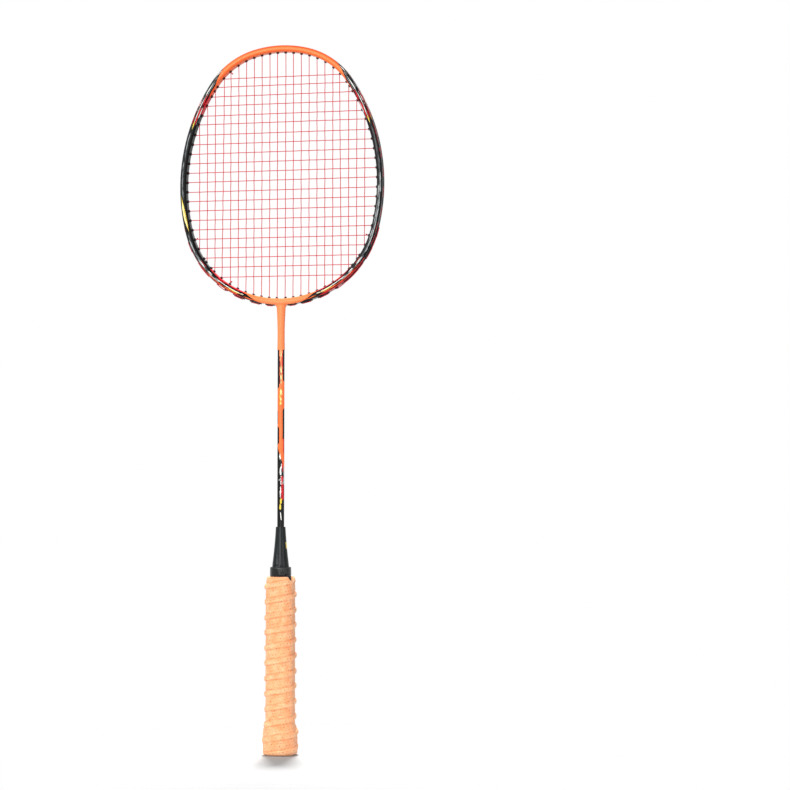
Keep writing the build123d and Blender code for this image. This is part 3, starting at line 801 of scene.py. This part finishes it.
def addPiece(name, bm, finish, replaced=()):
    # a new piece for Blender alone, or in place of CAD nodes
    mesh = bpy.data.meshes.new(name)
    bm.to_mesh(mesh)
    bm.free()
    for face in mesh.polygons:
        face.use_smooth = True
    mesh.materials.append(materials[finish])
    piece = bpy.data.objects.new(name, mesh)
    bpy.context.scene.collection.objects.link(piece)
    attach(piece, "root")
    if replaced:
        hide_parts(*replaced)
    print("scene:", name, len(mesh.polygons), "faces")
    return piece


def spinProfile(profile, steps):
    # a closed profile of radius and height, turned round the upright axis
    bm = bmesh.new()
    ring = [bm.verts.new((radius, 0, z)) for radius, z in profile]
    edges = [bm.edges.new((a, b)) for a, b in zip(ring, ring[1:] + ring[:1])]
    bmesh.ops.spin(
        bm, geom=ring + edges, cent=(0, 0, 0), axis=(0, 0, 1), dvec=(0, 0, 0), angle=2 * math.pi,
        steps=steps, use_merge=True, use_duplicate=False,
    )
    return bm


def smooth(value, start, end):
    t = min(1.0, max(0.0, (value - start) / (end - start)))
    return t * t * (3 - 2 * t)


# woven string bed
bed = {
    "mains": 22,
    "mainPitch": 7.75 * mm,
    "crosses": 22,
    "crossPitch": 9.16 * mm,
    "firstCross": 646.7 * mm,
    "lift": 0.8 * mm,  # from one side of the bed to the other
    "edge": 9.4 * mm,  # crossings nearer to the frame's outer edge than this stay flat
    "flatTo": 4 * mm,  # inside the outer edge, where the lift starts
    "flatFade": 3 * mm,
    "cuts": 3,  # from one crossing to the next
    "weld": 0.002 * mm,
    "flatAngle": 0.05,
    "cutReach": 0.0005 * mm,
}


def insetOf(x, z):
    x = abs(x)
    result = None
    for cx, cz, radius, first, _ in headArcs():
        if result is None or math.atan2(x - cx, z - cz) > first:
            result = radius - math.hypot(x - cx, z - cz)
    return result


def crossingLifts():
    # which crossings have the main string in front
    lifts = {}
    for i in range(-1, bed["mains"] + 1):
        for j in range(-1, bed["crosses"] + 1):
            x = (i - (bed["mains"] - 1) / 2) * bed["mainPitch"]
            z = bed["firstCross"] - j * bed["crossPitch"]
            lifts[i, j] = float((i + j) % 2 and insetOf(x, z) > bed["edge"])
    return lifts


def weaveString(name, node, upright):
    lifts = crossingLifts()
    bm = bmesh.new()
    bm.from_mesh(nodes[node].data)
    bmesh.ops.remove_doubles(bm, verts=bm.verts, dist=bed["weld"])
    bmesh.ops.dissolve_limit(bm, angle_limit=bed["flatAngle"], verts=bm.verts, edges=bm.edges)
    count = bed["crosses"] if upright else bed["mains"]
    for cut in range(-1, bed["cuts"] * count):
        share = cut / bed["cuts"]
        if upright:
            point, normal = (0, 0, bed["firstCross"] - share * bed["crossPitch"]), (0, 0, 1)
        else:
            point, normal = ((share - (bed["mains"] - 1) / 2) * bed["mainPitch"], 0, 0), (1, 0, 0)
        geometry = bm.verts[:] + bm.edges[:] + bm.faces[:]
        bmesh.ops.bisect_plane(bm, geom=geometry, dist=bed["cutReach"], plane_co=point, plane_no=normal)
    for vertex in bm.verts:
        x, _, z = vertex.co
        across = x / bed["mainPitch"] + (bed["mains"] - 1) / 2
        down = (bed["firstCross"] - z) / bed["crossPitch"]
        near, run = (round(across), down) if upright else (round(down), across)
        whole = math.floor(run)
        ease = 0.5 - 0.5 * math.cos(math.pi * (run - whole))
        pair = [lifts.get((near, k) if upright else (k, near), 0.0) for k in (whole, whole + 1)]
        inside = min(1.0, max(0.0, (insetOf(x, z) - bed["flatTo"]) / bed["flatFade"]))
        shift = (pair[0] + (pair[1] - pair[0]) * ease) * inside * bed["lift"]
        vertex.co.y += shift if upright else -shift
    addPiece(name, bm, "stringRed", [node])


weaveString("mainStrings", "main_string", True)
weaveString("crossStrings", "cross_string", False)


def handleReach(angle, cover):
    # from the axis to the rounded octagon, in one direction
    g, total = gripSize, 0.0
    for k in range(8):
        flat = (g["halfDepth"], g["cornerReach"], g["halfWidth"], g["cornerReach"])[k % 4] + cover
        facing = math.cos(angle - k * math.pi / 4)
        if facing > 0:
            total += (facing / flat) ** g["roundness"]
    return total ** (-1 / g["roundness"])


def gripCover(z):
    # thickness of the grip over the handle
    g = gripSize
    thick, buttEnd, slopeEnd = g["butt"]
    cover = thick + (g["cover"] - thick) * smooth(z, buttEnd, slopeEnd)
    taper = max(0.0, (z - g["taperStart"]) / (g["top"] - g["taperStart"]))
    return cover + (g["topCover"] - g["cover"]) * taper * taper


def unevenAt(angle, z, amount, scaleRound, scaleUp):
    place = Vector((math.sin(angle) * scaleRound, math.cos(angle) * scaleRound, z * scaleUp))
    return amount * noise.noise(place)


def wrapRelief(angle, z):
    # the strip's overlaps and its rounded keel, a little uneven as hands wind it
    g = gripSize
    turn = angle / (2 * math.pi)
    strip = (z - g["start"]) / g["pitch"] - turn + unevenAt(angle, z, *g["unevenTurn"])
    share = strip - math.floor(strip)
    lap = g["lap"] * ((1 - share) * smooth(share, 0.0, g["lapWidth"]) - 0.5)
    away = abs(share - g["keelCentre"]) / g["keelHalf"]
    topPower, sidePower = g["keelPowers"]
    bulge = max(0.0, 1 - away ** topPower) ** sidePower
    keel = g["keel"] * (1 + unevenAt(angle, z, *g["unevenKeel"])) * bulge
    crease = -g["crease"] * math.exp(-((away - g["creaseAt"]) / g["creaseWidth"]) ** 2)
    topFade = 1 - g["topLoss"] * smooth(z, g["top"] - g["topFade"], g["top"])
    fade = smooth(z, g["foot"], g["foot"] + g["footFade"]) * topFade
    _, buttEnd, slopeEnd = g["butt"]
    buttFade = 1 - g["buttLoss"] * (1 - smooth(z, buttEnd - g["buttFade"], slopeEnd))
    return (lap + keel * buttFade + crease + unevenAt(angle, z, *g["pucker"])) * fade


def makeGrip():
    g = gripSize
    outer, inner = g["skins"]
    profile = []
    edge = g["footRound"]
    for k in range(g["footSteps"] + 1):
        turn = math.radians(90 * k / g["footSteps"])
        radius = outer + g["butt"][0] - edge + edge * math.sin(turn)
        profile.append((radius, g["foot"] + edge * (1 - math.cos(turn))))
    count = int((g["top"] - g["lipHeight"] - g["foot"] - edge) / g["rise"])
    for k in range(1, count + 1):
        z = g["foot"] + edge + k * g["rise"]
        profile.append((outer + gripCover(z), z))
    for k in range(1, g["lipSteps"] + 1):
        turn = math.radians(90 * k / g["lipSteps"])
        cover = gripCover(g["top"]) - g["lipIn"] * (1 - math.cos(turn))
        profile.append((outer + cover, g["top"] - g["lipHeight"] * (1 - math.sin(turn))))
    for cover, z in g["inner"]:
        profile.append((inner + cover * mm, z * mm))
    bm = spinProfile(profile, g["turnSteps"])
    for vertex in bm.verts:
        x, y, z = vertex.co
        radius, angle = math.hypot(x, y), math.atan2(x, -y)
        outside = radius > (outer + inner) / 2
        reach = handleReach(angle, radius - (outer if outside else inner))
        if outside:
            reach += wrapRelief(angle, z)
        vertex.co.x, vertex.co.y = reach * math.sin(angle), -reach * math.cos(angle)
    bmesh.ops.recalc_face_normals(bm, faces=bm.faces)
    piece = addPiece("gripWrap", bm, "gripFoam", ["grip_wrap"])


makeGrip()


# finishing tape with its loose end
tapeSize = {
    "low": 168.1 * mm,
    "high": 177.0 * mm,
    "inner": 9.6 * mm,
    "outer": 10.15 * mm,
    "topInner": 9.1 * mm,
    "levels": 14,
    "steps": 96,
    "crown": 0.25 * mm,
    "crownPower": 6,
    "innerSkin": 9.7 * mm,  # inside this radius nothing is creased
    "layer": 0.16 * mm,  # one thickness of the tape
    "layerEdge": 0.012,  # share of a turn
    "crease": 0.07 * mm,
    "creaseScales": (3, 700),  # round and up
    "creasePlace": 1.4,
    "slip": 0.12 * mm,  # how far the turns lie out of line at the top
    "slipWaves": (2, 500),
    "slipFade": 3 * mm,
    "tailAngle": 52.0,  # degrees round from the front
    "tailTop": 170.4 * mm,
    "tailWidth": 5.6 * mm,
    "tailDrop": 5.4 * mm,
    "tailRound": 11.5 * mm,  # the radius that its width is measured at
    "tailReach": 10.3 * mm,
    "tailPoint": 0.8,
    "tailSkew": 0.12,
    "tailLift": 0.25 * mm,
    "tailEase": (0.02, 0.36),
    "tailTorn": 0.2,  # how uneven its end is
    "tailWaves": 7,
    "tailGrid": (8, 10),
    "tailThick": 0.18 * mm,
}


def makeTape():
    t = tapeSize
    profile = [(t["inner"], t["low"])]
    for k in range(t["levels"] + 1):
        share = k / t["levels"]
        crown = t["crown"] * (1 - abs(2 * share - 1) ** t["crownPower"])
        profile.append((t["outer"] - t["crown"] + crown, t["low"] + share * (t["high"] - t["low"])))
    profile.append((t["topInner"], t["high"]))
    bm = spinProfile(profile, t["steps"])
    creaseRound, creaseUp = t["creaseScales"]
    slipRound, slipUp = t["slipWaves"]
    for vertex in bm.verts:
        x, y, z = vertex.co
        radius, angle = math.hypot(x, y), math.atan2(x, -y)
        if radius > t["innerSkin"]:
            turn = (math.degrees(angle) - t["tailAngle"]) % 360 / 360
            step = t["layer"] * (1 - turn) * smooth(turn, 0.0, t["layerEdge"])
            place = Vector((angle * creaseRound, z * creaseUp, t["creasePlace"]))
            crease = t["crease"] * noise.noise(place)
            slip = t["slip"] * math.sin(angle * slipRound + z * slipUp)
            radius += step + crease - t["layer"]
            vertex.co.z += slip * smooth(z, t["high"] - t["slipFade"], t["high"])
            vertex.co.z = min(vertex.co.z, t["high"])
            vertex.co.x, vertex.co.y = radius * math.sin(angle), -radius * math.cos(angle)
    bmesh.ops.recalc_face_normals(bm, faces=bm.faces)
    addPiece("finishingTape", bm, "tapeBlack", ["finishing_tape"])


def makeTapeTail():
    # the tape's torn end, folded down over the top of the grip
    t = tapeSize
    bm = bmesh.new()
    columns, rows = t["tailGrid"]
    bmesh.ops.create_grid(bm, x_segments=columns, y_segments=rows, size=0.5)
    for vertex in bm.verts:
        u, v = vertex.co.x, vertex.co.y + 0.5
        sideways = u * t["tailWidth"] * (1 - t["tailPoint"] * v) / t["tailRound"]
        angle = math.radians(t["tailAngle"]) + sideways + t["tailSkew"] * v
        z = t["tailTop"] - v * t["tailDrop"] * (1 - t["tailTorn"] * math.sin(u * t["tailWaves"]))
        low = min(z, gripSize["top"])
        over = handleReach(angle, gripCover(low)) + max(0.0, wrapRelief(angle, low)) + t["tailLift"]
        reach = t["tailReach"] + max(0.0, over - t["tailReach"]) * smooth(v, *t["tailEase"])
        vertex.co = (reach * math.sin(angle), -reach * math.cos(angle), z)
    bmesh.ops.solidify(bm, geom=bm.faces[:], thickness=t["tailThick"])
    bmesh.ops.recalc_face_normals(bm, faces=bm.faces)
    addPiece("tapeTail", bm, "tapeBlack")


makeTape()
makeTapeTail()


# floor, light and camera
studio = {
    "floorSize": 6.0,
    "floorShown": (0.1, 0.27),  # metres from the axis: where the floor starts and ends fading away
    "floorTone": 0.46,
    "worldLight": 0.36,
}
softboxes = {
    "key": {"size": (1.0, 1.4), "power": 34.0, "place": (-1.5, -1.7, 1.3), "aim": (0, 0, 0.35)},
    "fill": {"size": (1.2, 1.8), "power": 14.0, "place": (1.9, -1.3, 0.8), "aim": (0, 0, 0.35)},
    "front": {"size": (1.5, 1.2), "power": 30.0, "place": (0.1, -2.3, 0.75), "aim": (0, 0, 0.3)},
}
pool = {
    "radius": 0.24,
    "power": 400.0,
    "spread": 22.0,  # degrees
    "blend": 0.5,
    "place": (-0.21, 0.9, 2.05),
    "aim": (0, 0, 0.02),
}
shot = {
    "distance": 2.0,
    "azimuth": 15.0,
    "height": 0.256,
    "lens": 95.7,
    "sensor": 36.0,
    "turn": 3.11,  # degrees to the right of the racket
    "pitch": 2.415,
    "clip": (0.05, 60),
}


def placeLamp(name, lamp, place, aim):
    holder = bpy.data.objects.new(name, lamp)
    holder.location = place
    holder.rotation_euler = (Vector(aim) - Vector(place)).to_track_quat("-Z", "Y").to_euler()
    bpy.context.scene.collection.objects.link(holder)
    return holder


def addSoftbox(name, size, power, place, aim):
    lamp = bpy.data.lights.new(name, "AREA")
    lamp.shape, lamp.energy = "RECTANGLE", power
    lamp.size, lamp.size_y = size
    placeLamp(name, lamp, place, aim)


def addPool():
    # lights the floor round the foot from above and behind
    lamp = bpy.data.lights.new("pool", "SPOT")
    lamp.shadow_soft_size, lamp.energy = pool["radius"], pool["power"]
    lamp.spot_size, lamp.spot_blend = math.radians(pool["spread"]), pool["blend"]
    placeLamp("pool", lamp, pool["place"], pool["aim"]).visible_glossy = False


def lookRays(tree):
    # 1 where the camera, a reflection or clear plastic looks at the set itself
    path = tree.nodes.new("ShaderNodeLightPath")
    rays = calc(tree, "MAXIMUM", path.outputs["Is Camera Ray"], path.outputs["Is Glossy Ray"])
    return calc(tree, "MAXIMUM", rays, path.outputs["Is Transmission Ray"])


def addFloor():
    bm = bmesh.new()
    bmesh.ops.create_grid(bm, x_segments=1, y_segments=1, size=studio["floorSize"] / 2)
    mesh = bpy.data.meshes.new("floor")
    bm.to_mesh(mesh)
    bm.free()
    floor = bpy.data.objects.new("floor", mesh)
    bpy.context.scene.collection.objects.link(floor)
    tone = studio["floorTone"]
    material, tree, shader = newMaterial(
        "paleFloor", Base_Color=(tone, tone, tone, 1), Roughness=0.9, Specular_IOR_Level=0.0
    )
    # seen only near the foot and only from above, but there for every ray that carries light
    x, y, _ = splitXyz(tree, objectPlace(tree))
    shown = opposite(tree, rise(tree, reachOf(tree, x, y), *studio["floorShown"]))
    below = tree.nodes.new("ShaderNodeNewGeometry").outputs["Backfacing"]
    shown = times(tree, shown, opposite(tree, below))
    alpha = calc(tree, "MAXIMUM", shown, opposite(tree, lookRays(tree)))
    tree.links.new(alpha, shader.inputs["Alpha"])
    mesh.materials.append(material)


def addWorld():
    world = bpy.data.worlds.new("studio")
    bpy.context.scene.world = world
    world.use_nodes = True
    tree = world.node_tree
    background = tree.nodes["Background"]
    background.inputs["Color"].default_value = (1, 1, 1, 1)
    strength = mixValue(tree, lookRays(tree), studio["worldLight"], 1.0)
    tree.links.new(strength, background.inputs["Strength"])


def addCamera():
    data = bpy.data.cameras.new("camera")
    data.lens, data.sensor_width = shot["lens"], shot["sensor"]
    data.clip_start, data.clip_end = shot["clip"]
    camera = bpy.data.objects.new("camera", data)
    around, distance = math.radians(shot["azimuth"]), shot["distance"]
    camera.location = (distance * math.sin(around), -distance * math.cos(around), shot["height"])
    facing = math.radians(shot["azimuth"] - shot["turn"])
    camera.rotation_euler = (math.radians(90 + shot["pitch"]), 0, facing)
    bpy.context.scene.collection.objects.link(camera)
    bpy.context.scene.camera = camera


addFloor()
addWorld()
addCamera()
for name, softbox in softboxes.items():
    addSoftbox(name, **softbox)
addPool()
bpy.context.scene.view_settings.view_transform = "Standard"
print("scene: floor, light and camera ready")
